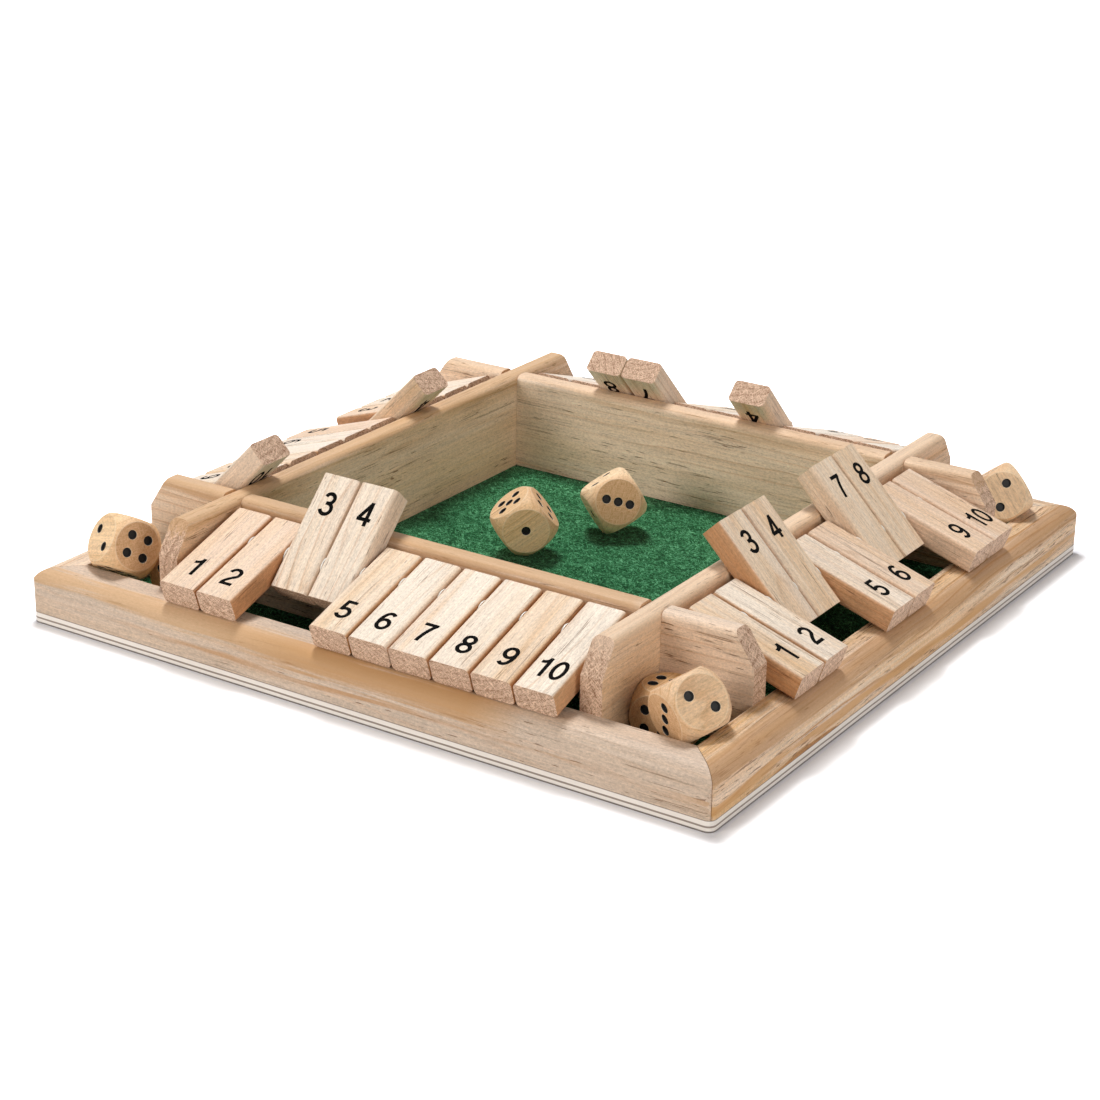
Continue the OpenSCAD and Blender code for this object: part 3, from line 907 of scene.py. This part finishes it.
make_tiles()
make_dice()


# Rods and washers

STEEL_DARK = (0.34, 0.34, 0.35)
STEEL_PALE = (0.52, 0.52, 0.53)
DRAWN_FINE = 1800.0
WASHER_DULL = (0.78, 0.77, 0.73)
WASHER_WHITE = (0.88, 0.88, 0.86)
GRIME_FINE = 400.0
SMOOTH_RELIEF = 0.01


def rod_material():
    t = Coat("rod_steel")
    drawn = t.noise(t.vector("SCALE", t.point, DRAWN_FINE), detail=3)
    colour = t.ramp(drawn, (0.3, STEEL_DARK), (0.7, STEEL_PALE))
    return t.finish(colour, t.span(drawn, 0.2, 0.8, 0.25, 0.42), drawn, SMOOTH_RELIEF, Metallic=1.0)


def washer_material():
    t = Coat("washer_plastic")
    grime = t.noise(t.vector("SCALE", t.point, GRIME_FINE))
    colour = t.ramp(grime, (0.3, WASHER_DULL), (0.7, WASHER_WHITE))
    return t.finish(colour, 0.35, grime, SMOOTH_RELIEF)


# Felt: a soft sheet on the base in the place of the felt mat, with its sizes in millimetres

FELT_STEP = 2.4
# How far the sheet's uneven top lies under the node's top, and its foot above the board
FELT_SINK = (0.02, 0.12)
FELT_LIFT = 0.01
FELT_SEED = 5
FELT_SWIRL = 0.28
FELT_SWIRL_REACH = 4.0
FELT_HAIR_TURNS = (8, 52, 97, 141)
FELT_HAIR = (0.50, 1.8, 1.0)
FELT_HAIR_SHOW = 0.94
FELT_CLUMP = 0.22
FELT_CLUMP_SHOW = 0.14
FELT_DARK = (0.003, 0.042, 0.013)
FELT_GREEN = (0.022, 0.150, 0.055)
FELT_PALE = (0.150, 0.460, 0.240)
FELT_RELIEF = 0.35


def felt_material():
    t = Coat("green_felt")
    mm = t.vector("SCALE", t.point, 1 / MM)
    swirl = t.noise(mm, FELT_SWIRL)
    push = t.vector("SCALE", t.join(swirl, t.math("SUBTRACT", 1.0, swirl), 0.0), FELT_SWIRL_REACH)
    bent = t.vector("ADD", mm, push)
    hair = 0.0
    for turn in FELT_HAIR_TURNS:
        laid = t.node("ShaderNodeVectorRotate", {"Vector": bent, "Angle": math.radians(turn)},
                      rotation_type="Z_AXIS").outputs[0]
        hair = t.math("MAXIMUM", hair, t.noise(t.vector("MULTIPLY", laid, FELT_HAIR), rough=0.8))
    clump = t.noise(mm, FELT_CLUMP, detail=3, rough=0.6)
    level = t.math("MULTIPLY_ADD", clump, FELT_CLUMP_SHOW, t.math("MULTIPLY", hair, FELT_HAIR_SHOW))
    colour = t.ramp(level, (0.55, FELT_DARK), (0.635, FELT_GREEN), (0.72, FELT_PALE))
    return t.finish(colour, 0.95, hair, FELT_RELIEF, Specular_IOR_Level=0.05, Sheen_Weight=0.06,
                    Sheen_Roughness=0.5)


def make_felt():
    low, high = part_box("felt_mat")
    across = high.x - low.x
    steps = round(across / (FELT_STEP * MM))
    draw = random.Random(FELT_SEED)
    bm = bmesh.new()
    grid = []
    for j in range(steps + 1):
        y = low.y + across * j / steps
        grid.append([bm.verts.new((low.x + across * i / steps, y, high.z - draw.uniform(*FELT_SINK) * MM))
                     for i in range(steps + 1)])
    for j in range(steps):
        for i in range(steps):
            bm.faces.new((grid[j][i], grid[j][i + 1], grid[j + 1][i + 1], grid[j + 1][i]))
    top = list(bm.faces)
    rim = [edge for edge in bm.edges if edge.is_boundary]
    skirt = bmesh.ops.extrude_edge_only(bm, edges=rim)["geom"]
    for vertex in (part for part in skirt if isinstance(part, bmesh.types.BMVert)):
        vertex.co.z = low.z + FELT_LIFT * MM
    foot = [part for part in skirt if isinstance(part, bmesh.types.BMEdge) and part.is_boundary]
    bmesh.ops.contextual_create(bm, geom=foot)
    bmesh.ops.recalc_face_normals(bm, faces=bm.faces)
    for face in top:
        face.smooth = True
    mesh = as_mesh(bm, "felt_sheet")
    mesh.materials.append(felt_material())
    felt = bpy.data.objects.new("felt_sheet", mesh)
    bpy.context.scene.collection.objects.link(felt)
    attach(felt, "root")
    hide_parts("felt_mat")


make_felt()
dress_board()
dress("tile_rods", rod_material())
dress("tile_washers", washer_material())


# Floor, world and lamps, in metres

FLOOR_HALF = 12.0
FLOOR_BOUNCE = (0.80, 0.80, 0.80)
FLOOR_WHITE = (0.93, 0.94, 1.0)
# How far from the board the floor's glow begins and is full, and how strong it is then
NEAR_GLOW = (0.001, 0.011, 0.0, 0.80)
FAR_GLOW = (0.05, 0.8, 0.0, 1.0)
WORLD_LEVEL = 0.13
WORLD_WHITE = (0.97, 0.98, 1.0, 1)


def make_floor():
    """A white floor. What the camera and reflections see of it glows more with its distance from the
    board, so that it stays white where the lamps no longer reach and keeps the shadow beside the board."""
    corners = [(x * FLOOR_HALF, y * FLOOR_HALF, 0) for x, y in ((-1, -1), (1, -1), (1, 1), (-1, 1))]
    mesh = bpy.data.meshes.new("floor")
    mesh.from_pydata(corners, [], [(0, 1, 2, 3)])
    floor = bpy.data.objects.new("floor", mesh)
    bpy.context.scene.collection.objects.link(floor)
    t = Coat("floor")
    beyond = t.vector("SUBTRACT", t.vector("ABSOLUTE", t.point), tuple(cad_box[1]))
    away = t.vector("LENGTH", t.vector("MAXIMUM", beyond, (0, 0, 0)), out=1)
    glow = t.math("ADD", t.span(away, *NEAR_GLOW), t.span(away, *FAR_GLOW))
    seen = t.seen()
    mesh.materials.append(t.finish(t.mix(seen, FLOOR_BOUNCE, FLOOR_WHITE), 0.9, Specular_IOR_Level=0.1,
                                   Emission_Color=(1, 1, 1, 1),
                                   Emission_Strength=t.math("MULTIPLY", glow, seen)))


def make_world():
    """A dim even light all round, which the camera and reflections see as white."""
    world = bpy.data.worlds.new("world")
    bpy.context.scene.world = world
    t = Tree(world)
    strength = t.span(t.seen(), 0, 1, WORLD_LEVEL, 1.0)
    back = t.node("ShaderNodeBackground", {"Color": WORLD_WHITE, "Strength": strength})
    t.node("ShaderNodeOutputWorld", {"Surface": back.outputs[0]})


def make_lamp(name, place, size, level, colour):
    """A soft round lamp. At a level of 1 it alone lights a surface that faces it in its written colour."""
    data = bpy.data.lights.new(name, "AREA")
    data.shape = "DISK"
    data.size = size
    data.energy = level * math.pi ** 2 * Vector(place).length_squared
    data.color = colour
    lamp = bpy.data.objects.new(name, data)
    lamp.location = place
    lamp.rotation_euler = (-Vector(place)).to_track_quat("-Z", "Y").to_euler()
    bpy.context.scene.collection.objects.link(lamp)


make_floor()
make_world()
make_lamp("overhead", place=(-0.32, 0.25, 1.12), size=0.34, level=0.78, colour=(1.0, 0.99, 0.975))
make_lamp("front_fill", place=(-0.55, -1.25, 0.55), size=0.6, level=0.38, colour=(1.0, 0.91, 0.80))
make_lamp("right_fill", place=(1.2, -0.5, 0.5), size=0.7, level=0.32, colour=(1.0, 0.92, 0.82))

bpy.context.scene.view_settings.view_transform = "Standard"
